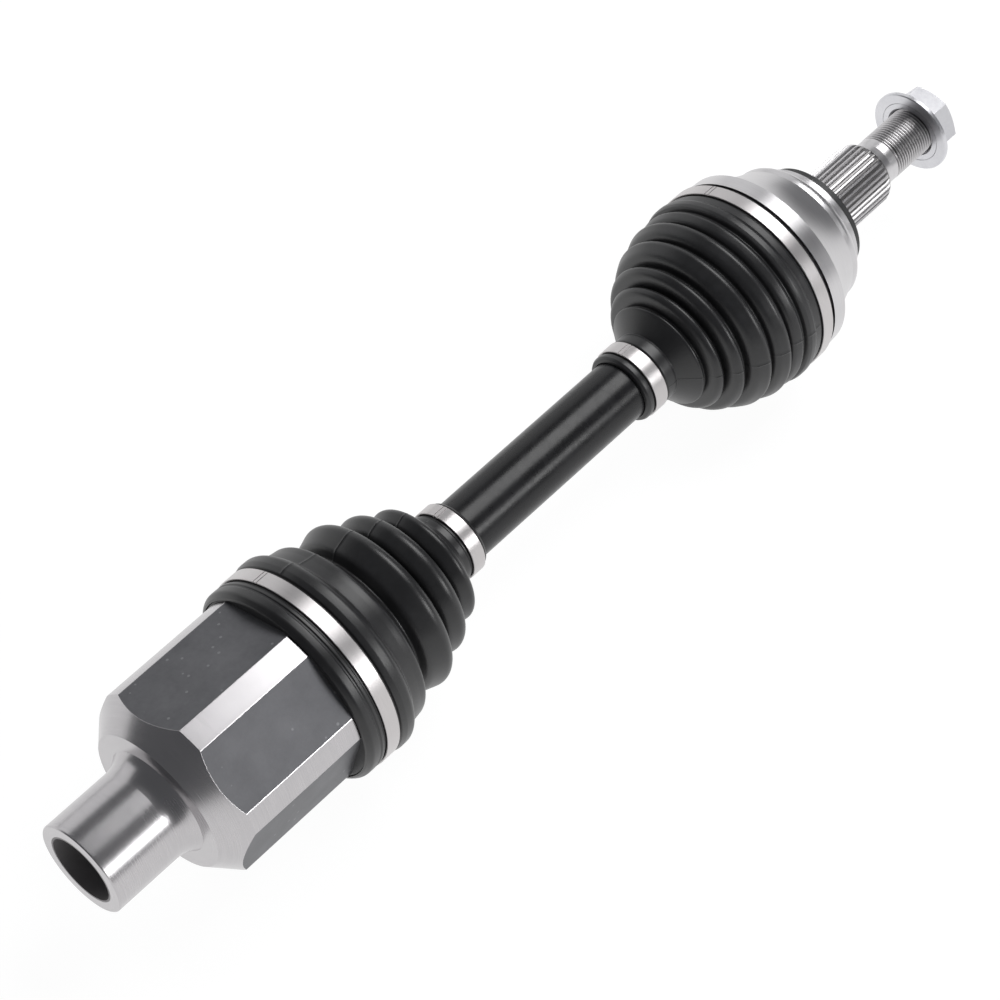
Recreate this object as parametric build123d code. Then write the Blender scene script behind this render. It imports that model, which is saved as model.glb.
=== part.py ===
from build123d import *
import math
import os

# A front-wheel drive axle with two constant-velocity joints. Millimetres.
# +X runs along the shaft from the gearbox end to the wheel end, +Z is up, and the origin is
# the centre of the gearbox end's mouth. A clock angle turns from +Z towards -Y, about +X.

FIT = 0.05          # radial clearance of running fits and slid-on splines
SOFT_GAP = 0.3      # clearance between a rubber boot and pieces on other bodies

# Inboard joint housing: a forged cup with a turned neck
NECK_R = 20.95
NECK_FLARE_X = 31.0
NECK_FLARE_R = 24.3
PILOT_R = 14.9
PILOT_DEPTH = 10.0
SHOULDER_X = 40.0
SHOULDER_R = 32.2
LAND_X = 51.0
LAND_R = 42.9
MOUTH_X = 126.0
WIDE_FLAT_HALF_ANGLE = 24.9
NARROW_FLAT_HALF_ANGLE = 20.7
TRUNNION_CLOCK = 42.5
CAVITY_X = 54.0
CAVITY_CORE_R = 21.0
MOUTH_CONE_R = 31.0
MOUTH_CONE_ANGLE = 20.0
TRACK_ROOF = 34.2
TRACK_SIDE_GAP = 0.85
PLUG_SEAT_R = 13.0
PLUG_SEAT_X = 48.0

# Internal spline of the neck
NECK_SPLINE_TEETH = 30
NECK_SPLINE_MINOR_R = 13.4
NECK_SPLINE_MAJOR_R = 14.7
NECK_SPLINE_END = 44.0

# Tripod: spider, needles, rollers
TRIPOD_X = 93.5
TRUNNION_R = 8.5
TRUNNION_TIP = 32.0
TRUNNION_NECK_R = 9.6
NEEDLE_R = 1.25
NEEDLE_COUNT = 22
NEEDLE_LENGTH = 11.0
ROLLER_CENTRE = 24.0
ROLLER_SPHERE_R = 15.5
ROLLER_HALF_WIDTH = 6.5
SPIDER_HUB_R = 16.0
SPIDER_HALF_WIDTH = 11.0
RING_THICKNESS = 1.2

# Connecting shaft
SHAFT_R = 13.7
SHAFT_NECK_R = 12.0
SHAFT_SPLINE_R = 12.4
SHAFT_SPLINE_ROOT_R = 11.5
SHAFT_SPLINE_TEETH = 28
SHAFT_BAR_START = 190.0
SHAFT_BAR_END = 322.0
SHAFT_SHOULDER_LENGTH = 12.0

# Outboard joint: six balls between an inner race and the bell
JOINT_X = 400.0
BALL_R = 8.731
BALL_PITCH_R = 27.5
BALL_COUNT = 6
TRACK_GAP = 1.25
RACE_TRACK_GAP = 2.2
CAGE_OUTER_R = 31.0
CAGE_INNER_R = 25.0
CAGE_HALF_WIDTH = 11.5
CAGE_WINDOW_LENGTH = 20.0
RACE_HALF_WIDTH = 12.0
BELL_CAVITY_DEPTH = 26.0
BELL_MOUTH_X = 385.0
BELL_MOUTH_R = 34.4
BELL_MOUTH_CONE_DEPTH = 10.5

# Bell outside, stub and thread
BELL_SEAT_R = 42.6
BELL_COLLAR_X = 394.6
BELL_COLLAR_R = 44.8
BELL_STEP_X = 402.0
BELL_STEP_R = 44.3
BELL_WAIST_R = 42.6
BELL_WAIST_X = 420.5
BELL_BACK_R = 34.0
BELL_BACK_X = 425.8
BELL_BACK_ROUND = 3.5
BELL_SHOULDER_R = 28.3
BELL_SHOULDER_X = 431.4
BELL_BOSS_R = 20.5
BELL_FACE_X = 436.0
STUB_TEETH = 36
STUB_MAJOR_R = 15.1
STUB_MINOR_R = 14.1
STUB_SPLINE_END = 474.0
STUB_NOSE_LENGTH = 4.5
STUB_NOSE_R = 11.6
STUB_COLLAR_X = 478.0
STUB_COLLAR_R = 10.9
THREAD_X = 482.0
THREAD_END = 517.4
THREAD_PITCH = 1.5
THREAD_MAJOR_R = 11.0
THREAD_MINOR_R = 10.1
DUST_RING_R = 26.0
DUST_RING_X = 432.2
DUST_RING_END = 435.2

# Hub nut with its captive washer
WASHER_FACE_X = 503.9
WASHER_THICKNESS = 2.3
WASHER_R = 19.5
WASHER_BORE_R = 14.2
NUT_ACROSS_FLATS = 27.0
NUT_END_X = 518.2
NUT_BORE_R = 11.35
NUT_COUNTERSINK_R = 12.2
NUT_CLOCK = 31.4
NUT_FLANGE_THICKNESS = 1.5
NUT_FLANGE_R = 15.6

# Where the shaft's splines and the retaining rings lie, from each joint's centre
SPLINE_OVERHANG = 3.6
RING_GAP = 0.1
RING_DEPTH = 1.0
SPIDER_SPLINE = (TRIPOD_X - SPIDER_HALF_WIDTH - SPLINE_OVERHANG, TRIPOD_X + SPIDER_HALF_WIDTH + SPLINE_OVERHANG)
RACE_SPLINE = (JOINT_X - RACE_HALF_WIDTH - SPLINE_OVERHANG, JOINT_X + RACE_HALF_WIDTH + SPLINE_OVERHANG)
SPIDER_RING_STARTS = (TRIPOD_X - SPIDER_HALF_WIDTH - RING_GAP - RING_THICKNESS,
                      TRIPOD_X + SPIDER_HALF_WIDTH + RING_GAP)
RACE_RING_STARTS = (JOINT_X - RACE_HALF_WIDTH - RING_GAP - RING_THICKNESS,
                    JOINT_X + RACE_HALF_WIDTH + RING_GAP)

# Boots: (x, radius) of each fold's crest and of the valley after it
BOOT_WALL = 1.6
INBOARD_ADAPTER_X = 108.5
INBOARD_ADAPTER_R = 43.4
INBOARD_BAND_R = 45.6
INBOARD_LIP_X = 108.0
INBOARD_BIG_CLAMP = (117.7, 124.5)
INBOARD_RIDGE = (130.5, 46.6)
INBOARD_FOLDS = ((134.5, 43.5), (142.5, 42.6), (147.5, 33.0), (155.0, 40.4), (162.5, 40.4), (167.0, 29.0),
                 (170.5, 34.5), (176.0, 34.5), (180.0, 23.5), (183.0, 28.4), (188.0, 28.2), (194.0, 18.0))
INBOARD_SMALL_CLAMP = (200.0, 206.5)
INBOARD_BOOT_END = 207.8
OUTBOARD_BOOT_START = 308.0
OUTBOARD_SMALL_CLAMP = (312.0, 319.0)
OUTBOARD_FOLDS = ((323.5, 17.2), (330.7, 25.4), (333.6, 22.8), (337.0, 31.0), (340.2, 28.4), (343.5, 36.8),
                  (348.2, 33.2), (353.4, 42.7), (358.2, 38.4), (362.6, 45.3), (368.2, 40.6), (372.6, 46.0),
                  (375.6, 43.4), (378.5, 45.8))
OUTBOARD_BAND_R = 44.7
OUTBOARD_BIG_CLAMP = (386.0, 392.2)
OUTBOARD_BOOT_END = 394.0
SMALL_END_R = 15.6
REST_FLATS = 40      # round each boot's widest rib, each as wide as the patch that rubber flattens on a floor
INBOARD_RIB = (128.5, 132.5)
INBOARD_RIB_R = 47.2
OUTBOARD_RIB = (377.0, 381.0)
OUTBOARD_RIB_R = 46.4
CLAMP_THICKNESS = 0.85
CLAMP_GROOVE = 0.45
CLAMP_GROOVE_PITCH = 2.0
CLAMP_GAP = 0.25     # a band's clearance over the rubber
CLAMP_CLOCKS = {"inboard_large_clamp": -28.0, "inboard_small_clamp": -16.0,
                "outboard_small_clamp": -16.0, "outboard_large_clamp": -28.0}

CLAMPS = {"inboard_large_clamp": (INBOARD_BIG_CLAMP, INBOARD_BAND_R),
          "inboard_small_clamp": (INBOARD_SMALL_CLAMP, SMALL_END_R),
          "outboard_small_clamp": (OUTBOARD_SMALL_CLAMP, SMALL_END_R),
          "outboard_large_clamp": (OUTBOARD_BIG_CLAMP, OUTBOARD_BAND_R)}

FAR = 200.0         # longer than any piece is wide
AXIS_TURN = Rot(Y=90)


def turned(*edges):
    """A closed outline in the X-radius plane, turned about the shaft line."""
    return revolve(make_face(Wire(edges)), Axis.X, 360)


def turned_points(*points):
    """The same, for an outline of straight lines between (x, radius) points."""
    return revolve(make_face(Polyline(*points, close=True)), Axis.X, 360)


def tube(start, end, outer, inner):
    return turned_points((start, inner), (end, inner), (end, outer), (start, outer))


def rod(start, end, radius):
    return Pos((start + end) / 2, 0, 0) * AXIS_TURN * Cylinder(radius, end - start)


def ball_zone(start, end, radius):
    """The slice of a ball centred on the origin between two planes across X."""
    start_r = math.sqrt(radius ** 2 - start ** 2)
    end_r = math.sqrt(radius ** 2 - end ** 2)
    middle = (start + end) / 2
    middle_r = math.sqrt(radius ** 2 - middle ** 2)
    return turned(
        Line((start, 0), (start, start_r)),
        ThreePointArc((start, start_r), (middle, middle_r), (end, end_r)),
        Line((end, end_r), (end, 0)),
        Line((end, 0), (start, 0)),
    )


def clocked(shape, angle):
    """Turns a shape made pointing along +Z to its clock angle."""
    return Rot(X=angle) * shape


def splined_rod(start, end, root, tip, teeth):
    """A rod with straight-sided teeth all round."""
    pitch = 360 / teeth
    points = []
    for tooth in range(teeth):
        for share, radius in ((-0.36, root), (-0.14, tip), (0.14, tip), (0.36, root)):
            angle = math.radians((tooth + share) * pitch)
            points.append((radius * math.cos(angle), radius * math.sin(angle)))
    section = make_face(Polyline(*points, close=True))
    return Pos(start, 0, 0) * AXIS_TURN * extrude(section, end - start)


def export(node, shape):
    os.makedirs("parts", exist_ok=True)
    export_step(shape, f"parts/{node}.step")


# ---------------------------------------------------------------- inboard joint

def housing_outside():
    """The cup's outside: turned neck and cone, three wide flats and three narrow ones."""
    neck_bevel = 0.5
    flare_rise = NECK_FLARE_R - NECK_R
    flare_run = SHOULDER_X - NECK_FLARE_X
    flare_radius = (flare_run ** 2 + flare_rise ** 2) / (2 * flare_rise)
    solid = turned(
        Line((0, 0), (0, NECK_R - neck_bevel)),
        Line((0, NECK_R - neck_bevel), (neck_bevel, NECK_R)),
        Line((neck_bevel, NECK_R), (NECK_FLARE_X, NECK_R)),
        RadiusArc((NECK_FLARE_X, NECK_R), (SHOULDER_X, NECK_FLARE_R), -flare_radius),
        Line((SHOULDER_X, NECK_FLARE_R), (SHOULDER_X, SHOULDER_R)),
        Line((SHOULDER_X, SHOULDER_R), (LAND_X, LAND_R)),
        Line((LAND_X, LAND_R), (MOUTH_X, LAND_R)),
        Line((MOUTH_X, LAND_R), (MOUTH_X, 0)),
        Line((MOUTH_X, 0), (0, 0)),
    )
    for side in range(3):
        for offset, half_angle in ((0, NARROW_FLAT_HALF_ANGLE), (60, WIDE_FLAT_HALF_ANGLE)):
            depth = LAND_R * math.cos(math.radians(half_angle))
            waste = Pos(MOUTH_X / 2, 0, depth + FAR / 2) * Box(FAR, FAR, FAR)
            solid -= clocked(waste, TRUNNION_CLOCK + 120 * side + offset)
    return solid


def housing_cavity():
    """Three flat-sided roller tracks round a turned core that opens towards the mouth."""
    half_width = ROLLER_SPHERE_R + TRACK_SIDE_GAP
    length = MOUTH_X - CAVITY_X
    corner_radius = 5.0
    cone_start = MOUTH_X - (MOUTH_CONE_R - CAVITY_CORE_R) / math.tan(math.radians(MOUTH_CONE_ANGLE))
    cavity = turned_points(
        (CAVITY_X, 0), (CAVITY_X, CAVITY_CORE_R), (cone_start, CAVITY_CORE_R),
        (MOUTH_X, MOUTH_CONE_R), (MOUTH_X, 0),
    )
    for track in range(3):
        slot = Pos(CAVITY_X + length / 2, 0, TRACK_ROOF / 2) * Box(length, 2 * half_width, TRACK_ROOF)
        slot = fillet(slot.edges().filter_by(Axis.X).group_by(Axis.Z)[-1], corner_radius)
        cavity += clocked(slot, TRUNNION_CLOCK + 120 * track)
    return cavity


def inboard_housing():
    bore = tube(0, PILOT_DEPTH, PILOT_R, 0)
    teeth = splined_rod(PILOT_DEPTH, NECK_SPLINE_END, NECK_SPLINE_MINOR_R, NECK_SPLINE_MAJOR_R,
                        NECK_SPLINE_TEETH)
    relief = rod(NECK_SPLINE_END, PLUG_SEAT_X, NECK_SPLINE_MAJOR_R)
    plug_seat = rod(PLUG_SEAT_X, CAVITY_X, PLUG_SEAT_R)
    return housing_outside() - housing_cavity() - bore - teeth - relief - plug_seat


def grease_plug():
    """A pressed steel cup that closes the neck's bore to the grease space."""
    wall = 1.5
    start = PLUG_SEAT_X + 0.5
    end = CAVITY_X
    return turned_points(
        (start, 0), (start, PLUG_SEAT_R), (end, PLUG_SEAT_R), (end, PLUG_SEAT_R - wall),
        (start + wall, PLUG_SEAT_R - wall), (start + wall, 0),
    )


def boot_adapter():
    """A moulded bush that makes the flatted cup round under the boot's large band."""
    return rod(INBOARD_ADAPTER_X, MOUTH_X, INBOARD_ADAPTER_R) - housing_outside()


def spider():
    hub = rod(TRIPOD_X - SPIDER_HALF_WIDTH, TRIPOD_X + SPIDER_HALF_WIDTH, SPIDER_HUB_R)
    hub = chamfer(hub.edges(), 1.5)
    neck_length = ROLLER_CENTRE - ROLLER_HALF_WIDTH - 0.4
    groove_base = TRUNNION_TIP - 2 * RING_THICKNESS
    for arm in range(3):
        pin = Pos(0, 0, TRUNNION_TIP / 2) * Cylinder(TRUNNION_R, TRUNNION_TIP)
        neck = Pos(0, 0, neck_length / 2) * Cylinder(TRUNNION_NECK_R, neck_length)
        groove = Pos(0, 0, groove_base + RING_THICKNESS / 2) * (
            Cylinder(TRUNNION_R + 1, RING_THICKNESS) - Cylinder(TRUNNION_R - 0.7, RING_THICKNESS)
        )
        hub += Pos(TRIPOD_X, 0, 0) * clocked(pin + neck - groove, TRUNNION_CLOCK + 120 * arm)
    bore = splined_rod(TRIPOD_X - FAR / 2, TRIPOD_X + FAR / 2, SHAFT_SPLINE_ROOT_R + FIT,
                       SHAFT_SPLINE_R + FIT, SHAFT_SPLINE_TEETH)
    return hub - bore


def trunnion_piece(shape, arm):
    """Moves a piece made round the Z axis to one of the spider's arms."""
    return Pos(TRIPOD_X, 0, 0) * clocked(shape, TRUNNION_CLOCK + 120 * arm)


def roller():
    """A barrel roller: a ball with flat ends and a plain bore."""
    width = 2 * ROLLER_HALF_WIDTH
    block = Sphere(ROLLER_SPHERE_R) & Box(FAR, FAR, width)
    bore = Cylinder(TRUNNION_R + 2 * NEEDLE_R + FIT, FAR)
    return Pos(0, 0, ROLLER_CENTRE) * (block - bore)


def needle_set():
    pitch_radius = TRUNNION_R + NEEDLE_R
    needle = Pos(pitch_radius, 0, ROLLER_CENTRE - 0.3) * Cylinder(NEEDLE_R - FIT / 2, NEEDLE_LENGTH)
    return Compound([Rot(Z=360 * n / NEEDLE_COUNT) * needle for n in range(NEEDLE_COUNT)])


def trunnion_rings():
    """The open retaining ring at each arm's tip."""
    height = TRUNNION_TIP - 1.5 * RING_THICKNESS
    ring = Cylinder(TRUNNION_R + 0.9, RING_THICKNESS - 0.1) - Cylinder(TRUNNION_R - 0.6, FAR)
    ring -= Pos(TRUNNION_R, 0, 0) * Box(TRUNNION_R, 4, FAR)
    return Compound([trunnion_piece(Pos(0, 0, height) * ring, arm) for arm in range(3)])


def open_ring(start, thickness, outer, inner, gap_clock):
    """A retaining ring for a shaft groove, with a gap."""
    gap = Pos(start, 0, outer) * Box(FAR, 5, outer)
    return tube(start, start + thickness, outer, inner) - clocked(gap, gap_clock)


# ---------------------------------------------------------------- shaft

def shaft():
    """A bar with a swelled middle, necks inside the boots and a splined end in each joint."""
    bar = turned_points(
        (SPIDER_SPLINE[1], 0), (SPIDER_SPLINE[1], SHAFT_NECK_R),
        (SHAFT_BAR_START - SHAFT_SHOULDER_LENGTH, SHAFT_NECK_R), (SHAFT_BAR_START, SHAFT_R),
        (SHAFT_BAR_END, SHAFT_R), (SHAFT_BAR_END + SHAFT_SHOULDER_LENGTH, SHAFT_NECK_R),
        (RACE_SPLINE[0], SHAFT_NECK_R), (RACE_SPLINE[0], 0),
    )
    for start, end in (SPIDER_SPLINE, RACE_SPLINE):
        bar += splined_rod(start, end, SHAFT_SPLINE_ROOT_R, SHAFT_SPLINE_R, SHAFT_SPLINE_TEETH)
    for start in SPIDER_RING_STARTS + RACE_RING_STARTS:
        bar -= tube(start, start + RING_THICKNESS, SHAFT_R + 1, SHAFT_SPLINE_ROOT_R - RING_DEPTH)
    return bar


def shaft_rings(starts):
    rings = [
        open_ring(start + FIT, RING_THICKNESS - 2 * FIT, SHAFT_SPLINE_R + 0.9,
                  SHAFT_SPLINE_ROOT_R - RING_DEPTH + FIT, 0)
        for start in starts
    ]
    return Compound(rings)


# ---------------------------------------------------------------- outboard joint

def ball_tracks(radius, back_angle):
    """The grooves that the balls run in: parts of rings centred on the joint."""
    mouth_angle = 60
    tracks = []
    for ball in range(BALL_COUNT):
        circle = Plane.YZ * Pos(0, BALL_PITCH_R) * Circle(radius)
        ring = Rot(Y=-mouth_angle) * revolve(circle, Axis.Y, mouth_angle + back_angle)
        tracks.append(Pos(JOINT_X, 0, 0) * clocked(ring, 360 * ball / BALL_COUNT))
    return tracks


def bell_outside():
    """The bell, its bearing boss and the plain blank of the stub."""
    lip_bevel = 1.2
    edge = 0.5
    waist_radius = 75.0
    back_round_x = BELL_BACK_X - BELL_BACK_ROUND
    return turned(
        Line((BELL_MOUTH_X, 0), (BELL_MOUTH_X, BELL_SEAT_R - lip_bevel)),
        Line((BELL_MOUTH_X, BELL_SEAT_R - lip_bevel), (BELL_MOUTH_X + lip_bevel, BELL_SEAT_R)),
        Line((BELL_MOUTH_X + lip_bevel, BELL_SEAT_R), (BELL_COLLAR_X, BELL_SEAT_R)),
        Line((BELL_COLLAR_X, BELL_SEAT_R), (BELL_COLLAR_X, BELL_COLLAR_R)),
        Line((BELL_COLLAR_X, BELL_COLLAR_R), (BELL_STEP_X, BELL_STEP_R)),
        Line((BELL_STEP_X, BELL_STEP_R), (BELL_STEP_X, BELL_WAIST_R)),
        RadiusArc((BELL_STEP_X, BELL_WAIST_R), (BELL_WAIST_X, BELL_BACK_R), -waist_radius),
        Line((BELL_WAIST_X, BELL_BACK_R), (back_round_x, BELL_BACK_R)),
        RadiusArc((back_round_x, BELL_BACK_R), (BELL_BACK_X, BELL_BACK_R - BELL_BACK_ROUND), BELL_BACK_ROUND),
        Line((BELL_BACK_X, BELL_BACK_R - BELL_BACK_ROUND), (BELL_BACK_X, BELL_SHOULDER_R)),
        Line((BELL_BACK_X, BELL_SHOULDER_R), (BELL_SHOULDER_X - edge, BELL_SHOULDER_R)),
        Line((BELL_SHOULDER_X - edge, BELL_SHOULDER_R), (BELL_SHOULDER_X, BELL_SHOULDER_R - edge)),
        Line((BELL_SHOULDER_X, BELL_SHOULDER_R - edge), (BELL_SHOULDER_X, BELL_BOSS_R)),
        Line((BELL_SHOULDER_X, BELL_BOSS_R), (BELL_FACE_X, BELL_BOSS_R)),
        Line((BELL_FACE_X, BELL_BOSS_R), (BELL_FACE_X, 0)),
        Line((BELL_FACE_X, 0), (BELL_MOUTH_X, 0)),
    )


def stub():
    """The splined stub, its plain collar and the M22 x 1.5 thread with a real helix."""
    spline = splined_rod(BELL_FACE_X, STUB_SPLINE_END, STUB_MINOR_R, STUB_MAJOR_R, STUB_TEETH)
    blank_r = STUB_MAJOR_R + 1
    nose_x = STUB_SPLINE_END - STUB_NOSE_LENGTH
    nose_radius = 5.5
    blank = turned(
        Line((BELL_FACE_X, 0), (BELL_FACE_X, blank_r)),
        Line((BELL_FACE_X, blank_r), (nose_x, blank_r)),
        Line((nose_x, blank_r), (nose_x, STUB_MAJOR_R)),
        RadiusArc((nose_x, STUB_MAJOR_R), (STUB_SPLINE_END, STUB_NOSE_R), nose_radius),
        Line((STUB_SPLINE_END, STUB_NOSE_R), (STUB_SPLINE_END, 0)),
        Line((STUB_SPLINE_END, 0), (BELL_FACE_X, 0)),
    )
    taper = turned_points(
        (STUB_SPLINE_END - 1, 0), (STUB_SPLINE_END - 1, STUB_NOSE_R),
        (STUB_SPLINE_END, STUB_NOSE_R), (STUB_COLLAR_X, STUB_COLLAR_R),
        (THREAD_X, STUB_COLLAR_R), (THREAD_X + 0.8, THREAD_MINOR_R), (THREAD_X + 0.8, 0),
    )
    tip_bevel = 1.4
    core = turned_points(
        (THREAD_X, 0), (THREAD_X, THREAD_MINOR_R), (THREAD_END - tip_bevel, THREAD_MINOR_R),
        (THREAD_END, THREAD_MINOR_R - tip_bevel), (THREAD_END, 0),
    )
    return (spline & blank) + taper + core + thread_ridge()


def thread_ridge():
    """One helical ridge, cut square at both ends."""
    start = THREAD_X + 0.2
    length = THREAD_END - 2 * THREAD_PITCH - start
    root_r = THREAD_MINOR_R - 0.12
    helix = Helix(THREAD_PITCH, length, root_r)
    half_root = 0.44 * THREAD_PITCH
    half_crest = 0.09 * THREAD_PITCH
    height = THREAD_MAJOR_R - root_r
    section = Plane(helix @ 0, x_dir=(1, 0, 0), z_dir=helix % 0) * make_face(
        Polyline((0, -half_root), (height, -half_crest), (height, half_crest), (0, half_root), close=True)
    )
    ridge = sweep(section, path=helix, is_frenet=True)
    return Pos(start, 0, 0) * AXIS_TURN * ridge


def bell():
    seat_r = CAGE_OUTER_R + FIT
    cone_x = JOINT_X - BELL_MOUTH_CONE_DEPTH
    cone_r = math.sqrt(seat_r ** 2 - BELL_MOUTH_CONE_DEPTH ** 2)
    back_x = JOINT_X + BELL_CAVITY_DEPTH
    back_r = math.sqrt(seat_r ** 2 - BELL_CAVITY_DEPTH ** 2)
    cavity = turned(
        Line((BELL_MOUTH_X, 0), (BELL_MOUTH_X, BELL_MOUTH_R)),
        Line((BELL_MOUTH_X, BELL_MOUTH_R), (cone_x, cone_r)),
        ThreePointArc((cone_x, cone_r), (JOINT_X, seat_r), (back_x, back_r)),
        Line((back_x, back_r), (back_x, 0)),
        Line((back_x, 0), (BELL_MOUTH_X, 0)),
    )
    solid = bell_outside() - cavity
    for track in ball_tracks(BALL_R + TRACK_GAP, 45):
        solid -= track
    return solid + stub()


def inner_race():
    half = RACE_HALF_WIDTH
    race = Pos(JOINT_X, 0, 0) * ball_zone(-half, half, CAGE_INNER_R - FIT)
    for track in ball_tracks(BALL_R + RACE_TRACK_GAP, 60):
        race -= track
    bore = splined_rod(JOINT_X - FAR / 2, JOINT_X + FAR / 2, SHAFT_SPLINE_ROOT_R + FIT,
                       SHAFT_SPLINE_R + FIT, SHAFT_SPLINE_TEETH)
    return race - bore


def cage():
    """A ball-shaped ring with a window for each ball."""
    half = CAGE_HALF_WIDTH
    ring = ball_zone(-half, half, CAGE_OUTER_R) - ball_zone(-half - 1, half + 1, CAGE_INNER_R)
    window = Box(2 * (BALL_R + FIT), CAGE_WINDOW_LENGTH, CAGE_OUTER_R)
    window = fillet(window.edges().filter_by(Axis.Z), 4.0)
    window = Pos(0, 0, CAGE_OUTER_R) * window
    for ball in range(BALL_COUNT):
        ring -= clocked(window, 360 * ball / BALL_COUNT)
    return Pos(JOINT_X, 0, 0) * ring


def ball(number):
    return Pos(JOINT_X, 0, 0) * clocked(Pos(0, 0, BALL_PITCH_R) * Sphere(BALL_R), 360 * number / BALL_COUNT)


def dust_ring():
    """A black ring pushed on to the boss behind the bell."""
    return tube(DUST_RING_X, DUST_RING_END, DUST_RING_R, BELL_BOSS_R)


def nut_washer():
    """The nut's own washer, which turns freely on its collar."""
    lip_room = 0.7
    face = WASHER_FACE_X
    back = face + WASHER_THICKNESS
    edge = 0.4
    return turned_points(
        (face, WASHER_BORE_R + lip_room), (face + lip_room, WASHER_BORE_R), (back, WASHER_BORE_R),
        (back, WASHER_R - edge), (back - edge, WASHER_R), (face + edge, WASHER_R), (face, WASHER_R - edge),
    )


def hub_nut():
    """A flanged hexagon nut with a collar through the washer, spread into a lip in front."""
    collar_r = WASHER_BORE_R - 2 * FIT
    lip = 0.5
    face = WASHER_FACE_X + 0.15
    flange_x = WASHER_FACE_X + WASHER_THICKNESS + 2 * FIT
    hexagon_x = flange_x + NUT_FLANGE_THICKNESS
    across_corners = NUT_ACROSS_FLATS / math.cos(math.radians(30))
    hexagon = Pos(hexagon_x, 0, 0) * AXIS_TURN * extrude(
        RegularPolygon(across_corners / 2, 6), NUT_END_X - hexagon_x
    )
    corner_bevel = 1.1
    rounding = turned_points(
        (hexagon_x, 0), (hexagon_x, across_corners), (NUT_END_X - corner_bevel, across_corners / 2),
        (NUT_END_X, NUT_ACROSS_FLATS / 2 - 0.2), (NUT_END_X, 0),
    )
    front = turned_points(
        (face, 0), (face, collar_r + lip), (face + lip, collar_r), (flange_x, collar_r),
        (flange_x, NUT_FLANGE_R), (flange_x + 0.6, NUT_FLANGE_R), (hexagon_x + 0.2, across_corners / 2 - 0.6),
        (hexagon_x + 0.2, 0),
    )
    bore = rod(face, NUT_END_X, NUT_BORE_R)
    sink = turned_points(
        (face, 0), (face, NUT_COUNTERSINK_R), (face + NUT_COUNTERSINK_R - NUT_BORE_R, NUT_BORE_R),
        (face + NUT_COUNTERSINK_R - NUT_BORE_R, 0),
    )
    back_sink = turned_points(
        (NUT_END_X, 0), (NUT_END_X, NUT_COUNTERSINK_R),
        (NUT_END_X - NUT_COUNTERSINK_R + NUT_BORE_R, NUT_BORE_R),
        (NUT_END_X - NUT_COUNTERSINK_R + NUT_BORE_R, 0),
    )
    return clocked((hexagon & rounding) + front - bore - sink - back_sink, NUT_CLOCK)


# ---------------------------------------------------------------- boots and clamps

def folded_boot(outer, inner_start, inner_end):
    """A thin-walled boot: its outside line, and the same line one wall nearer the shaft."""
    inner = [(x, r - BOOT_WALL) for x, r in outer[2:-2]]
    return turned_points(*outer, *inner_end, *reversed(inner), *inner_start)


def flatted_rib(span, radius, bore):
    """A boot's widest rib, with a flat at its lowest point."""
    half_turn = 180 / REST_FLATS
    corner_r = radius / math.cos(math.radians(half_turn))
    outline = Rot(Z=half_turn) * RegularPolygon(corner_r, REST_FLATS)
    rib = Pos(span[0], 0, 0) * AXIS_TURN * extrude(outline, span[1] - span[0])
    return rib - rod(span[0], span[1], bore)


def inboard_boot():
    seat = INBOARD_ADAPTER_R + SOFT_GAP
    small = SHAFT_R + SOFT_GAP
    lip_end = MOUTH_X + SOFT_GAP
    outer = [
        (INBOARD_LIP_X, seat), (INBOARD_LIP_X, INBOARD_BAND_R), (INBOARD_BIG_CLAMP[1] + 2, INBOARD_BAND_R),
        INBOARD_RIDGE, *INBOARD_FOLDS,
        (INBOARD_SMALL_CLAMP[0] - 3, SMALL_END_R), (INBOARD_BOOT_END, SMALL_END_R), (INBOARD_BOOT_END, small),
    ]
    boot = folded_boot(outer, [(lip_end, seat)], [(INBOARD_SMALL_CLAMP[0] - 1, small)])
    return boot + flatted_rib(INBOARD_RIB, INBOARD_RIB_R, INBOARD_RIDGE[1] - BOOT_WALL)


def outboard_boot():
    seat = BELL_SEAT_R + SOFT_GAP
    small = SHAFT_R + SOFT_GAP
    outer = [
        (OUTBOARD_BOOT_START, small), (OUTBOARD_BOOT_START, SMALL_END_R), (OUTBOARD_SMALL_CLAMP[1], SMALL_END_R),
        *OUTBOARD_FOLDS,
        (OUTBOARD_BIG_CLAMP[0] - 2, OUTBOARD_BAND_R), (OUTBOARD_BOOT_END, OUTBOARD_BAND_R),
        (OUTBOARD_BOOT_END, seat),
    ]
    boot = folded_boot(outer, [(OUTBOARD_SMALL_CLAMP[1] + 1, small)], [(BELL_MOUTH_X - SOFT_GAP, seat)])
    return boot + flatted_rib(OUTBOARD_RIB, OUTBOARD_RIB_R, OUTBOARD_BAND_R)


def clamp(name, span, inner):
    """A flat steel band, with the two cross lines where its ends hook together."""
    outer = inner + CLAMP_THICKNESS
    band = tube(span[0], span[1], outer, inner)
    band = chamfer(band.edges(), 0.2)
    middle = (span[0] + span[1]) / 2
    half_pitch = math.degrees(CLAMP_GROOVE_PITCH / 2 / outer)
    for side in (-1, 1):
        groove = Pos(middle, 0, outer) * Box(FAR, CLAMP_GROOVE, CLAMP_THICKNESS)
        band -= clocked(groove, CLAMP_CLOCKS[name] + side * half_pitch)
    return band


# ---------------------------------------------------------------- pieces

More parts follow.
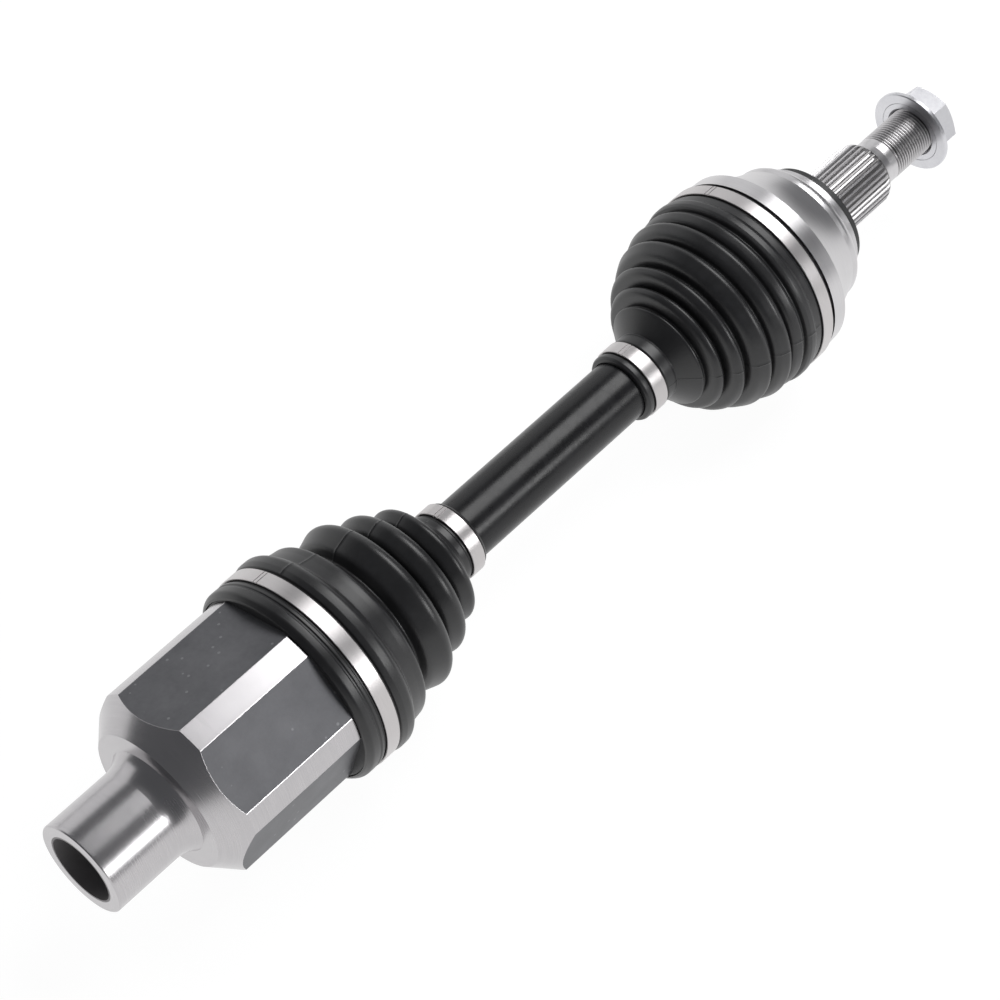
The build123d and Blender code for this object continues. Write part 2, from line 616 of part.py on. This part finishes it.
export("inboard_housing", inboard_housing())
export("grease_plug", grease_plug())
export("boot_adapter", boot_adapter())
export("inboard_boot", inboard_boot())
export("spider", spider())
for arm_number in range(3):
    export(f"roller_{arm_number + 1}", trunnion_piece(roller(), arm_number))
    export(f"needles_{arm_number + 1}", trunnion_piece(needle_set(), arm_number))
export("trunnion_rings", trunnion_rings())
export("spider_rings", shaft_rings(SPIDER_RING_STARTS))
export("shaft", shaft())
export("race_rings", shaft_rings(RACE_RING_STARTS))
export("inner_race", inner_race())
export("cage", cage())
for ball_number in range(BALL_COUNT):
    export(f"ball_{ball_number + 1}", ball(ball_number))
export("bell", bell())
export("dust_ring", dust_ring())
export("outboard_boot", outboard_boot())
export("nut_washer", nut_washer())
export("hub_nut", hub_nut())

for clamp_name, (clamp_span, boot_radius) in CLAMPS.items():
    export(clamp_name, clamp(clamp_name, clamp_span, boot_radius + CLAMP_GAP))
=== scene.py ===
import math

import bmesh
import bpy
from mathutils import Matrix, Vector


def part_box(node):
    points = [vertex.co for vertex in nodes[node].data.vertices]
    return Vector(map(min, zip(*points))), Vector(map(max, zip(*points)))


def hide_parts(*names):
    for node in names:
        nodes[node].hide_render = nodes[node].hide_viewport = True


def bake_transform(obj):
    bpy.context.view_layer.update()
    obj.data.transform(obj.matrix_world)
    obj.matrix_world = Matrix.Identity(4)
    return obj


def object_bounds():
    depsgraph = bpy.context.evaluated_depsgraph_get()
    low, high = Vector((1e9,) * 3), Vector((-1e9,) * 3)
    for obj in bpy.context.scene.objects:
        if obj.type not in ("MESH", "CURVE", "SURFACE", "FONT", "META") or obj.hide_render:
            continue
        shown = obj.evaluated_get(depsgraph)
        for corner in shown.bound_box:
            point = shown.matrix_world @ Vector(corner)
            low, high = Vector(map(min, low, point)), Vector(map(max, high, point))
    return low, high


# A front drive axle: the CAD pieces get their finishes here, and the two boots are modelled.
# Outlines and edges are in millimetres; camera, lights, finishes and the scene are in metres.
# A clock angle turns from +Z towards -Y, about +X, in degrees.

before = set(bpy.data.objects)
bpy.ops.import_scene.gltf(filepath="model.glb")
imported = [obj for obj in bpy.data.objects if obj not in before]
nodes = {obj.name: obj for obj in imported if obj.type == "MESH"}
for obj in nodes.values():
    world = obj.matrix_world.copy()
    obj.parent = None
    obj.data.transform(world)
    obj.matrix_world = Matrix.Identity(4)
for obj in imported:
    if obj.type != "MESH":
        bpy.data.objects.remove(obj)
cad_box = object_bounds()

MM = 0.001
RING_STEPS = 200
ARC_STEP = math.radians(9)
SHARP_ANGLE = math.radians(42)
WELD_DISTANCE = 1e-7
PARTING_HALF_WIDTH = math.radians(0.28)
PARTING_LIFT = 0.11
INBOARD_PARTING_CLOCKS = (-20.0, 160.0)
OUTBOARD_PARTING_CLOCKS = (78.0, 258.0)
OUTLINE_SPACING = 1.2
VALLEY_ROUNDING = 0.8


def edge(node, side, axis=0):
    """A CAD node's lowest (0) or highest (1) coordinate along an axis, in millimetres."""
    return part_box(node)[side][axis] / MM


SHAFT_R = edge("shaft", 1, 2)
HOUSING_LAND_R = 42.9
BELL_SEAT_R = 42.6
HOUSING_MOUTH_X = edge("inboard_housing", 1)
BELL_MOUTH_X = edge("bell", 0)
SEAT_GAP = 0.3

# Where the housing's finishes change, in metres.
CONE_START_X = 0.040
CONE_START_R = 0.0322
CONE_LENGTH = 0.011
NECK_BORE_R = 0.0158
NECK_BORE_END_X = 0.047

# Teeth and thread on the bell's stub: (start x, end x, root r, crest r).
STUB_SPLINE = (436.5, 474.0, 14.15, 14.95)
STUB_THREAD = (481.5, 518.0, 10.15, 10.9)
# Painted shade: the colour laid into the roots of the stub's teeth and thread.
PAINTED_GROOVE_SHADE = (0.22, 0.215, 0.215, 1.0)

# ------------------------------------------------------------------ camera, floor, light

AXLE_MIDDLE_X = 0.2325
CAMERA_AZIMUTH = -47.94
CAMERA_ELEVATION = 53.5
CAMERA_DISTANCE = 1.303
CAMERA_LENS = 115.8
VIEW_OFFSET = Vector((0.0, -0.0009, -0.00044))
SENSOR_WIDTH = 36.0
FAR_CLIP = 50.0
WORLD_COLOR = (0.93, 0.95, 1.0, 1.0)
WORLD_STRENGTH = 0.13
FLOOR_HALF = 6.0
FLOOR_GAP = 0.0002
FLOOR_GLOW = 0.95


def add_object(name, data):
    obj = bpy.data.objects.new(name, data)
    bpy.context.scene.collection.objects.link(obj)
    return obj


def direction(azimuth, elevation):
    """The unit vector towards a viewer at that azimuth and elevation."""
    a, e = math.radians(azimuth), math.radians(elevation)
    return Vector((math.sin(a) * math.cos(e), -math.cos(a) * math.cos(e), math.sin(e)))


def make_camera():
    data = bpy.data.cameras.new("camera")
    data.lens = CAMERA_LENS
    data.sensor_width = SENSOR_WIDTH
    data.clip_end = FAR_CLIP
    camera = add_object("camera", data)
    back = direction(CAMERA_AZIMUTH, CAMERA_ELEVATION)
    camera.location = Vector((AXLE_MIDDLE_X, 0, 0)) + VIEW_OFFSET + back * CAMERA_DISTANCE
    camera.rotation_mode = "QUATERNION"
    camera.rotation_quaternion = (-back).to_track_quat("-Z", "Y")
    bpy.context.scene.camera = camera


def soft_box(name, place, target, size, power):
    data = bpy.data.lights.new(name, "AREA")
    data.shape = "RECTANGLE"
    data.size, data.size_y = size
    data.energy = power
    light = add_object(name, data)
    light.location = place
    light.rotation_euler = (Vector(target) - Vector(place)).to_track_quat("-Z", "Y").to_euler()


def make_lights():
    middle = (AXLE_MIDDLE_X, 0, 0)
    soft_box("overhead_box", place=(0.93, 0.0, 1.15), target=(0.80, 0.0, 0.0), size=(0.85, 0.75), power=10.5)
    soft_box("side_strip", place=(0.62, -1.15, 0.52), target=(0.10, 0.0, 0.0), size=(0.62, 0.34), power=5.5)
    soft_box("far_panel", place=(0.70, 1.30, 0.55), target=middle, size=(2.6, 1.0), power=6.5)
    world = bpy.data.worlds.new("studio")
    world.use_nodes = True
    background = world.node_tree.nodes["Background"]
    background.inputs["Color"].default_value = WORLD_COLOR
    background.inputs["Strength"].default_value = WORLD_STRENGTH
    bpy.context.scene.world = world


def make_floor(height):
    mesh = bpy.data.meshes.new("floor")
    corners = ((-1, -1), (1, -1), (1, 1), (-1, 1))
    verts = [(x * FLOOR_HALF, y * FLOOR_HALF, height) for x, y in corners]
    mesh.from_pydata(verts, [], [(0, 1, 2, 3)])
    floor = add_object("floor", mesh)
    paper = Shader("floor_paper")
    grain = paper.noise(paper.object_coords(), scale=900.0, detail=2.0)
    paper.set(Roughness=0.9, Specular_IOR_Level=0.1)
    paper.set(Emission_Color=(1, 1, 1, 1), Emission_Strength=FLOOR_GLOW)
    paper.link(paper.ramp(grain, ((0.0, (0.09, 0.09, 0.09)), (1.0, (0.11, 0.11, 0.11)))), "Base Color")
    mesh.materials.append(paper.material)


# ------------------------------------------------------------------ materials

class Shader:
    """A Principled material with short calls for the node chains used below."""

    def __init__(self, name):
        self.material = bpy.data.materials.new(name)
        self.material.use_nodes = True
        self.tree = self.material.node_tree
        self.surface = self.tree.nodes["Principled BSDF"]
        self.coords = None

    def set(self, **values):
        for key, value in values.items():
            self.surface.inputs[key.replace("_", " ")].default_value = value

    def node(self, kind, **settings):
        made = self.tree.nodes.new(kind)
        for key, value in settings.items():
            setattr(made, key, value)
        return made

    def wire(self, source, target):
        self.tree.links.new(source, target)

    def feed(self, value, socket):
        if isinstance(value, (int, float, tuple)):
            socket.default_value = value
        else:
            self.wire(value, socket)

    def link(self, source, socket):
        self.wire(source, self.surface.inputs[socket])

    def object_coords(self):
        if self.coords is None:
            self.coords = self.node("ShaderNodeTexCoord").outputs["Object"]
        return self.coords

    def math(self, operation, first, second=0.0, clamp=False):
        made = self.node("ShaderNodeMath", operation=operation, use_clamp=clamp)
        self.feed(first, made.inputs[0])
        self.feed(second, made.inputs[1])
        return made.outputs[0]

    def axle_coords(self):
        """x, distance from the axle's line, and clock angle in radians."""
        split = self.node("ShaderNodeSeparateXYZ")
        self.wire(self.object_coords(), split.inputs[0])
        x, y, z = split.outputs
        squares = self.math("ADD", self.math("MULTIPLY", y, y), self.math("MULTIPLY", z, z))
        return x, self.math("SQRT", squares), self.math("ARCTAN2", self.math("MULTIPLY", y, -1.0), z)

    def combine(self, x, y, z):
        made = self.node("ShaderNodeCombineXYZ")
        for value, socket in zip((x, y, z), made.inputs):
            self.feed(value, socket)
        return made.outputs[0]

    def noise(self, vector, scale, detail=3.0, roughness=0.55):
        made = self.node("ShaderNodeTexNoise")
        self.wire(vector, made.inputs["Vector"])
        made.inputs["Scale"].default_value = scale
        made.inputs["Detail"].default_value = detail
        made.inputs["Roughness"].default_value = roughness
        return made.outputs[0]

    def spots(self, vector, scale, size):
        """Small round spots: 1 in a spot, 0 between."""
        made = self.node("ShaderNodeTexVoronoi")
        self.wire(vector, made.inputs["Vector"])
        made.inputs["Scale"].default_value = scale
        return self.math("LESS_THAN", made.outputs["Distance"], size)

    def ramp(self, factor, stops):
        made = self.node("ShaderNodeValToRGB")
        elements = made.color_ramp.elements
        while len(elements) < len(stops):
            elements.new(0.5)
        for element, (place, color) in zip(elements, stops):
            element.position = place
            element.color = (*color, 1.0)
        self.wire(factor, made.inputs[0])
        return made.outputs[0]

    def scaled(self, factor, low, high):
        made = self.node("ShaderNodeMapRange")
        made.inputs["To Min"].default_value = low
        made.inputs["To Max"].default_value = high
        self.wire(factor, made.inputs["Value"])
        return made.outputs["Result"]

    def mix(self, factor, first, second):
        made = self.node("ShaderNodeMix", data_type="RGBA")
        self.feed(factor, made.inputs["Factor"])
        self.feed(first, made.inputs[6])
        self.feed(second, made.inputs[7])
        return made.outputs[2]

    def mix_value(self, factor, first, second):
        made = self.node("ShaderNodeMix", data_type="FLOAT")
        self.feed(factor, made.inputs[0])
        self.feed(first, made.inputs[2])
        self.feed(second, made.inputs[3])
        return made.outputs[0]

    def bump(self, height, strength, distance):
        made = self.node("ShaderNodeBump")
        made.inputs["Strength"].default_value = strength
        made.inputs["Distance"].default_value = distance
        self.wire(height, made.inputs["Height"])
        self.link(made.outputs[0], "Normal")


def lathe_lines(shader, scale):
    """Noise that is constant round the axle, as a turning tool leaves."""
    x, radius, clock = shader.axle_coords()
    slow_clock = shader.math("MULTIPLY", clock, 0.0006)
    return shader.noise(shader.combine(x, radius, slow_clock), scale=scale, detail=4.0, roughness=0.7)


def groove_shade(shader, color_socket, spans):
    """Paints shade into the bottoms of teeth and threads: spans are (start x, end x, root r, crest r) in mm.
    """
    x, radius, _ = shader.axle_coords()
    for start, end, root, crest in spans:
        inside = shader.math("MULTIPLY", shader.math("GREATER_THAN", x, start * MM),
                             shader.math("LESS_THAN", x, end * MM))
        depth = shader.node("ShaderNodeMapRange")
        depth.inputs["From Min"].default_value = crest * MM
        depth.inputs["From Max"].default_value = root * MM
        shader.wire(radius, depth.inputs["Value"])
        color_socket = shader.mix(shader.math("MULTIPLY", depth.outputs["Result"], inside, clamp=True),
                                  color_socket, PAINTED_GROOVE_SHADE)
    return color_socket


def turned_steel(name, color, roughness, line_scale=2600.0, line_depth=0.000006, grooves=()):
    """Bright steel with fine turning lines and faint handling marks."""
    shader = Shader(name)
    lines = lathe_lines(shader, line_scale)
    smudge = shader.noise(shader.object_coords(), scale=38.0, detail=4.0)
    low, high = roughness
    dark = tuple(0.86 * c for c in color)
    shader.set(Metallic=1.0)
    shader.link(shader.scaled(shader.mix_value(0.45, smudge, lines), low, high), "Roughness")
    metal = shader.ramp(shader.mix_value(0.5, smudge, lines), ((0.32, dark), (0.62, color)))
    # The spans given in grooves get painted shade in their roots.
    shader.link(groove_shade(shader, metal, grooves), "Base Color")
    shader.bump(lines, 0.4, line_depth)
    return shader.material


def housing_steel():
    """Turned lands, cone and neck; a dark forged and phosphated skin on the flats."""
    shader = Shader("housing_steel")
    x, radius, _ = shader.axle_coords()
    cone_slope = (HOUSING_LAND_R * MM - CONE_START_R) / CONE_LENGTH
    along_cone = shader.math("SUBTRACT", x, CONE_START_X)
    cone = shader.math("ADD", shader.math("MULTIPLY", along_cone, cone_slope), CONE_START_R)
    turned_r = shader.math("MINIMUM", cone, HOUSING_LAND_R * MM)
    below = shader.math("SUBTRACT", turned_r, radius)
    ragged = shader.noise(shader.object_coords(), scale=700.0, detail=3.0)
    edge_wear = shader.math("MULTIPLY", ragged, 0.00012)
    cut = shader.math("GREATER_THAN", below, shader.math("ADD", edge_wear, 0.00006))
    on_cup = shader.math("GREATER_THAN", x, CONE_START_X + 0.0001)
    forged = shader.math("MULTIPLY", cut, on_cup)

    lines = lathe_lines(shader, 2600.0)
    smudge = shader.noise(shader.object_coords(), scale=30.0, detail=4.0)
    bright = shader.ramp(shader.mix_value(0.5, smudge, lines),
                         ((0.3, (0.44, 0.43, 0.44)), (0.65, (0.53, 0.515, 0.525))))
    # The bore inside the neck gets a darker colour, which is painted shade, and a duller, less metallic
    # finish.
    in_bore = shader.math("MULTIPLY", shader.math("LESS_THAN", radius, NECK_BORE_R),
                          shader.math("LESS_THAN", x, NECK_BORE_END_X))
    bright = shader.mix(in_bore, bright, (0.24, 0.23, 0.235, 1.0))
    skin_noise = shader.noise(shader.object_coords(), scale=420.0, detail=6.0, roughness=0.65)
    patches = shader.noise(shader.object_coords(), scale=55.0, detail=5.0)
    skin = shader.ramp(shader.mix_value(0.4, patches, skin_noise),
                       ((0.35, (0.115, 0.116, 0.124)), (0.65, (0.165, 0.166, 0.176))))
    specks = shader.spots(shader.object_coords(), 160.0, 0.10)
    skin = shader.mix(shader.math("MULTIPLY", specks, 0.5), skin, (0.32, 0.32, 0.33, 1.0))
    shader.link(shader.mix(forged, bright, skin), "Base Color")
    shader.link(shader.mix_value(forged, shader.mix_value(in_bore, 1.0, 0.35), 0.55), "Metallic")
    bright_rough = shader.scaled(shader.mix_value(0.4, smudge, lines), 0.20, 0.32)
    bright_rough = shader.mix_value(in_bore, bright_rough, 0.55)
    skin_rough = shader.scaled(skin_noise, 0.42, 0.6)
    shader.link(shader.mix_value(forged, bright_rough, skin_rough), "Roughness")
    height = shader.mix_value(forged, shader.math("MULTIPLY", lines, 0.05), skin_noise)
    shader.bump(height, 0.5, 0.00006)
    return shader.material


def shaft_paint():
    """Satin black paint over a forged bar."""
    shader = Shader("shaft_paint")
    orange_peel = shader.noise(shader.object_coords(), scale=320.0, detail=3.0)
    broad = shader.noise(shader.object_coords(), scale=26.0, detail=4.0)
    shader.set(Metallic=0.0, Specular_IOR_Level=0.32)
    tones = ((0.35, (0.008, 0.008, 0.009)), (0.7, (0.014, 0.014, 0.016)))
    shader.link(shader.ramp(broad, tones), "Base Color")
    shader.link(shader.scaled(shader.mix_value(0.5, broad, orange_peel), 0.12, 0.46), "Roughness")
    shader.bump(shader.mix_value(0.35, orange_peel, broad), 0.4, 0.0001)
    return shader.material


def boot_rubber():
    """Moulded black rubber: fine grain, faint flow marks and a little dust."""
    shader = Shader("boot_rubber")
    grain = shader.noise(shader.object_coords(), scale=1500.0, detail=3.0)
    flow = shader.noise(shader.object_coords(), scale=24.0, detail=5.0)
    dust = shader.noise(shader.object_coords(), scale=190.0, detail=6.0, roughness=0.7)
    dusty = shader.math("MULTIPLY", shader.scaled(dust, -0.6, 1.2), shader.scaled(flow, 0.0, 0.9), clamp=True)
    shader.link(shader.mix(dusty, (0.011, 0.011, 0.012, 1.0), (0.034, 0.034, 0.037, 1.0)), "Base Color")
    shader.link(shader.scaled(shader.mix_value(0.4, flow, dust), 0.27, 0.46), "Roughness")
    shader.set(Specular_IOR_Level=0.55)
    shader.bump(grain, 0.22, 0.00004)
    return shader.material


def black_plastic(name):
    shader = Shader(name)
    grain = shader.noise(shader.object_coords(), scale=1100.0, detail=4.0)
    broad = shader.noise(shader.object_coords(), scale=60.0, detail=4.0)
    tones = ((0.3, (0.016, 0.016, 0.017)), (0.7, (0.034, 0.034, 0.036)))
    shader.link(shader.ramp(broad, tones), "Base Color")
    shader.link(shader.scaled(grain, 0.36, 0.58), "Roughness")
    shader.bump(grain, 0.3, 0.00005)
    return shader.material


def zinc_plate():
    """Bright zinc: pale, slightly mottled."""
    shader = Shader("zinc_plate")
    fine = shader.noise(shader.object_coords(), scale=600.0, detail=5.0)
    broad = shader.noise(shader.object_coords(), scale=80.0, detail=3.0)
    shader.set(Metallic=1.0)
    mottle = shader.mix_value(0.5, fine, broad)
    shader.link(shader.ramp(mottle, ((0.3, (0.60, 0.60, 0.63)), (0.7, (0.70, 0.70, 0.72)))), "Base Color")
    shader.link(shader.scaled(fine, 0.24, 0.38), "Roughness")
    shader.bump(fine, 0.2, 0.00002)
    return shader.material


def dress(material, *names):
    """Gives CAD nodes a finish in place of their plain one."""
    for name in names:
        slots = nodes[name].material_slots
        if not slots:
            nodes[name].data.materials.append(material)
        for slot in slots:
            slot.material = material


# ------------------------------------------------------------------ turned soft pieces

def rounded(corners):
    """Corner points (x, r, radius) turned into an outline with tangent arcs at the corners."""
    points = []
    for i, (x, r, radius) in enumerate(corners):
        here = Vector((x, r))
        if radius == 0 or i in (0, len(corners) - 1):
            points.append(here)
            continue
        back = Vector(corners[i - 1][:2]) - here
        ahead = Vector(corners[i + 1][:2]) - here
        half = back.angle(ahead) / 2
        room = 0.49 * min(back.length, ahead.length)
        tangent = min(radius / math.tan(half), room)
        radius = tangent * math.tan(half)
        start = here + back.normalized() * tangent
        end = here + ahead.normalized() * tangent
        centre = here + (back.normalized() + ahead.normalized()).normalized() * (radius / math.sin(half))
        sweep = math.pi - 2 * half
        steps = max(2, round(sweep / ARC_STEP))
        a = start - centre
        sign = 1 if a.cross(end - centre) > 0 else -1
        for n in range(steps + 1):
            turn = sign * sweep * n / steps
            points.append(centre + Vector((a.x * math.cos(turn) - a.y * math.sin(turn),
                                           a.x * math.sin(turn) + a.y * math.cos(turn))))
    return points


def densify(points, spacing):
    """Adds points on long runs, so that the mesh bends evenly."""
    out = [points[0]]
    for a, b in zip(points, points[1:]):
        pieces = max(1, math.ceil((b - a).length / spacing))
        out += [a.lerp(b, n / pieces) for n in range(1, pieces + 1)]
    return out


def revolve(name, outline, columns):
    """A closed outline of (x, r) turned about the axle; columns are (clock, lift) pairs, lift in mm on r."""
    mesh = bpy.data.meshes.new(name)
    verts, faces = [], []
    count = len(outline)
    for clock, lift in columns:
        s, c = math.sin(clock), math.cos(clock)
        for x, r, raised in outline:
            radius = (r + lift * raised) * MM
            verts.append((x * MM, -radius * s, radius * c))
    around = len(columns)
    for i in range(around):
        j = (i + 1) % around
        for k in range(count):
            m = (k + 1) % count
            faces.append((i * count + k, i * count + m, j * count + m, j * count + k))
    mesh.from_pydata(verts, [], faces)
    mesh.update()
    piece = bmesh.new()
    piece.from_mesh(mesh)
    bmesh.ops.remove_doubles(piece, verts=piece.verts, dist=WELD_DISTANCE)
    bmesh.ops.recalc_face_normals(piece, faces=piece.faces)
    piece.to_mesh(mesh)
    piece.free()
    for polygon in mesh.polygons:
        polygon.use_smooth = True
    mesh.set_sharp_from_angle(angle=SHARP_ANGLE)
    return add_object(name, mesh)


def mould_columns(parting_clocks):
    """Even columns round the axle, with a fine raised line at each parting plane of the mould."""
    lines = [math.radians(c) % (2 * math.pi) for c in parting_clocks]
    even = [2 * math.pi * n / RING_STEPS for n in range(RING_STEPS)]
    near = math.pi / RING_STEPS
    columns = [(a, 0.0) for a in even
               if all(abs((a - p + math.pi) % (2 * math.pi) - math.pi) > near for p in lines)]
    for p in lines:
        columns += [(p - PARTING_HALF_WIDTH, 0.0), (p, PARTING_LIFT), (p + PARTING_HALF_WIDTH, 0.0)]
    return sorted(columns)


# Boots: corners (x, r, rounding). A fold rises steeply out of a narrow valley, turns into a gentle
# face towards the gearbox end, and ends in a tight crest with a steep face behind it.

def fold(valley, near, near_rounding, crest, crest_rounding):
    return [(*valley, VALLEY_ROUNDING), (*near, near_rounding), (*crest, crest_rounding)]


INBOARD_SEAT_R = HOUSING_LAND_R + 0.5 + SEAT_GAP
INBOARD_SPLIT_X = 149.6
INBOARD_OUTER = [
    (108.0, 43.7, 0), (108.3, 44.6, 0.6), (110.2, 46.3, 2.2), (113.6, 46.35, 0.6), (114.0, 45.9, 0.3),
    (114.7, 45.9, 0.3), (115.1, 46.3, 0.3), (116.4, 46.2, 0.3), (116.8, 45.65, 0.3),
    (125.4, 45.65, 0.4), (125.9, 46.6, 0.5), (128.2, 47.25, 2.0), (132.4, 47.2, 3.2), (135.0, 43.9, 1.4),
    (140.2, 42.9, 2.5), (144.0, 42.4, 2.4), (148.0, 34.0, 1.2),
    *fold((INBOARD_SPLIT_X, 33.2), (151.8, 37.0), 4.0, (163.2, 40.9), 4.0),
    *fold((166.8, 26.4), (168.3, 31.6), 4.0, (177.5, 35.1), 4.0),
    *fold((180.4, 20.4), (181.8, 25.4), 3.5, (189.0, 28.5), 2.6),
    (191.6, 18.0, 1.2), (195.6, 16.4, 1.2),
    (198.4, 16.3, 0.6), (198.9, 15.65, 0.3), (206.9, 15.65, 0.3), (207.3, 16.0, 0.3),
    (208.2, 15.5, 0.5), (208.5, 14.1, 0),
]
OUTBOARD_SPLITS_X = (334.4, 358.2)
OUTBOARD_OUTER = [
    (307.6, 14.1, 0), (307.9, 15.6, 0.5), (309.0, 16.2, 0.5), (311.0, 16.2, 0.4), (311.4, 15.65, 0.3),
    (319.4, 15.65, 0.3), (320.2, 16.3, 0.5), (325.0, 16.2, 0.9), (325.8, 15.8, 0.5),
    (333.1, 26.0, 1.6), *fold((OUTBOARD_SPLITS_X[0], 21.6), (335.5, 29.5), 3.0, (339.2, 31.2), 1.8),
    *fold((340.5, 26.0), (341.5, 34.6), 3.5, (345.7, 37.2), 2.2),
    *fold((347.8, 31.0), (348.9, 38.8), 5.0, (356.8, 43.2), 2.6),
    *fold((OUTBOARD_SPLITS_X[1], 36.8), (359.4, 42.6), 4.5, (366.2, 45.6), 2.6),
    *fold((367.8, 40.4), (368.8, 43.8), 3.0, (373.6, 45.4), 1.8),
    (375.0, 42.2, 0.6), (376.0, 45.6, 0.8),
    (377.6, 46.2, 1.0), (380.0, 46.2, 1.2), (381.6, 45.3, 0.5), (384.9, 45.2, 0.4), (385.3, 44.75, 0.3),
    (392.9, 44.75, 0.3), (393.9, 44.3, 0.5), (394.1, 43.2, 0),
]
WALL = 1.9
LEAST_WALL_R = SHAFT_R + SEAT_GAP


def boot_sections(outer_corners, seat, seat_r, small, splits, parting_x):
    """Closed outlines of the boot's stretches between the split planes, each point with its raise.

    seat and small are the spans of x where the wall lies on the joint and on the bar. parting_x is
    the span that carries the mould's parting lines.
    """
    outer = densify(rounded(outer_corners), OUTLINE_SPACING)

    def inside(point):
        x, r = point
        if seat[0] <= x <= seat[1]:
            return Vector((x, seat_r))
        if small[0] <= x <= small[1]:
            return Vector((x, LEAST_WALL_R))
        return Vector((x, max(r - WALL, LEAST_WALL_R)))

    limits = [outer[0].x - 1, *splits, outer[-1].x + 1]
    sections = []
    for low, high in zip(limits, limits[1:]):
        part = [p for p in outer if low <= p.x <= high]
        raise_line = [1.0 if parting_x[0] < p.x < parting_x[1] else 0.0 for p in part]
        top = [(p.x, p.y, up) for p, up in zip(part, raise_line)]
        bottom = [(*inside(p), 0.0) for p in reversed(part)]
        sections.append(top + bottom)
    return sections


def make_boots(material):
    inboard = boot_sections(
        INBOARD_OUTER, seat=(100.0, HOUSING_MOUTH_X + SEAT_GAP), seat_r=INBOARD_SEAT_R,
        small=(195.0, 210.0), splits=[INBOARD_SPLIT_X], parting_x=(126.0, 197.0))
    columns = mould_columns(INBOARD_PARTING_CLOCKS)
    pieces = []
    for name, outline in zip(("inboard_boot_big_end", "inboard_boot_folds"), inboard):
        pieces.append(revolve(name, outline, columns))
    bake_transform(pieces[0])
    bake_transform(pieces[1])
    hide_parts("inboard_boot")

    outboard = boot_sections(
        OUTBOARD_OUTER, seat=(BELL_MOUTH_X - SEAT_GAP, 400.0), seat_r=BELL_SEAT_R + SEAT_GAP,
        small=(300.0, 324.0), splits=OUTBOARD_SPLITS_X, parting_x=(321.0, 384.0))
    columns = mould_columns(OUTBOARD_PARTING_CLOCKS)
    names = ("outboard_boot_small_end", "outboard_boot_folds", "outboard_boot_big_end")
    bends = (("axle_shaft", "outboard_bellows", 0.3205, OUTBOARD_SPLITS_X[0] * MM),
             ("outboard_bellows", "ball_cage", OUTBOARD_SPLITS_X[0] * MM, OUTBOARD_SPLITS_X[1] * MM),
             ("ball_cage", "outer_race", OUTBOARD_SPLITS_X[1] * MM, 0.3835))
    for name, outline, (a, b, start, end) in zip(names, outboard, bends):
        piece = revolve(name, outline, columns)
        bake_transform(piece)
        pieces.append(piece)
    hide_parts("outboard_boot")
    for piece in pieces:
        piece.data.materials.append(material)


# ------------------------------------------------------------------ putting it together

def dress_cad():
    bell = turned_steel("bell_steel", (0.62, 0.61, 0.62), (0.27, 0.38),
                        grooves=(STUB_SPLINE, STUB_THREAD))
    bearing = turned_steel("bearing_steel", (0.62, 0.62, 0.63), (0.10, 0.18), 3200.0, 0.000003)
    bands = turned_steel("clamp_steel", (0.58, 0.56, 0.56), (0.30, 0.42), 5200.0, 0.000003)
    rings = turned_steel("ring_steel", (0.30, 0.30, 0.31), (0.3, 0.45))
    plug = turned_steel("plug_steel", (0.45, 0.44, 0.42), (0.3, 0.45))
    dress(housing_steel(), "inboard_housing")
    dress(bell, "bell")
    dress(bearing, "spider", "inner_race", "cage", *(f"ball_{n + 1}" for n in range(6)),
          *(f"roller_{n + 1}" for n in range(3)), *(f"needles_{n + 1}" for n in range(3)))
    dress(bands, "inboard_large_clamp", "inboard_small_clamp", "outboard_small_clamp", "outboard_large_clamp")
    dress(rings, "trunnion_rings", "spider_rings", "race_rings")
    dress(plug, "grease_plug")
    dress(shaft_paint(), "shaft")
    dress(black_plastic("adapter_plastic"), "boot_adapter")
    dress(black_plastic("dust_ring_black"), "dust_ring")
    dress(zinc_plate(), "nut_washer", "hub_nut")


bpy.context.scene.view_settings.view_transform = "Standard"
make_camera()
make_lights()
dress_cad()
make_boots(boot_rubber())
make_floor(cad_box[0][2] - FLOOR_GAP)
